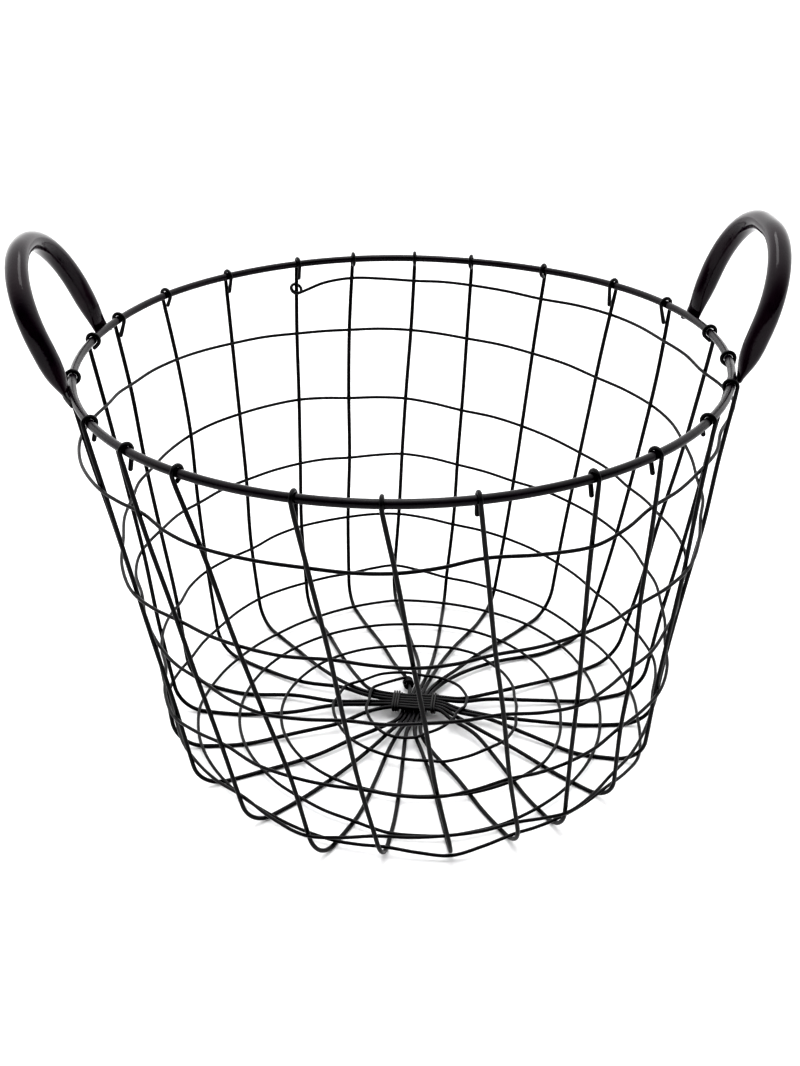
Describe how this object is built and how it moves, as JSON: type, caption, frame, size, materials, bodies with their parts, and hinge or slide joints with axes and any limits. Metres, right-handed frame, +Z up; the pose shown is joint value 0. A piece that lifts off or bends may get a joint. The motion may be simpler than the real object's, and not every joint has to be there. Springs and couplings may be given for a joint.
{
  "type": "wire egg basket",
  "caption": "Round open wire basket, wider at the rim than the base, with hooked ribs crossing at a bound hub, a woven spiral wire and two fixed upright handles.",
  "frame": {"origin": "on the floor, under the middle of the rim", "axes": "+X through the right handle, the two handles stand at the ends of X, +Y to the back, +Z up"},
  "size_m": [0.3838, 0.3395, 0.2851],
  "materials": {
    "rim": "semi-gloss black enamel",
    "rib_wire": "semi-gloss black enamel",
    "weft": "satin black enamel",
    "tie_wire": "satin black",
    "handle_core": "semi-gloss black enamel",
    "handle_grip": "glossy black with a faint purple-brown tint"
  },
  "bodies": {
    "root": {"upper_wire_1": "rib_wire", "upper_wire_2": "rib_wire", "upper_wire_3": "rib_wire", "upper_wire_4": "rib_wire", "upper_wire_5": "rib_wire", "upper_wire_6": "rib_wire", "lower_wire_1": "rib_wire", "lower_wire_2": "rib_wire", "lower_wire_3": "rib_wire", "lower_wire_4": "rib_wire", "lower_wire_5": "rib_wire", "lower_wire_6": "rib_wire", "weft_wire": "weft", "rim_ring": "rim", "hub_binding_left": "tie_wire", "hub_binding_right": "tie_wire", "handle_core_left": "handle_core", "handle_core_right": "handle_core", "handle_grip_left": "handle_grip", "handle_grip_right": "handle_grip"}
  },
  "joints": []
}
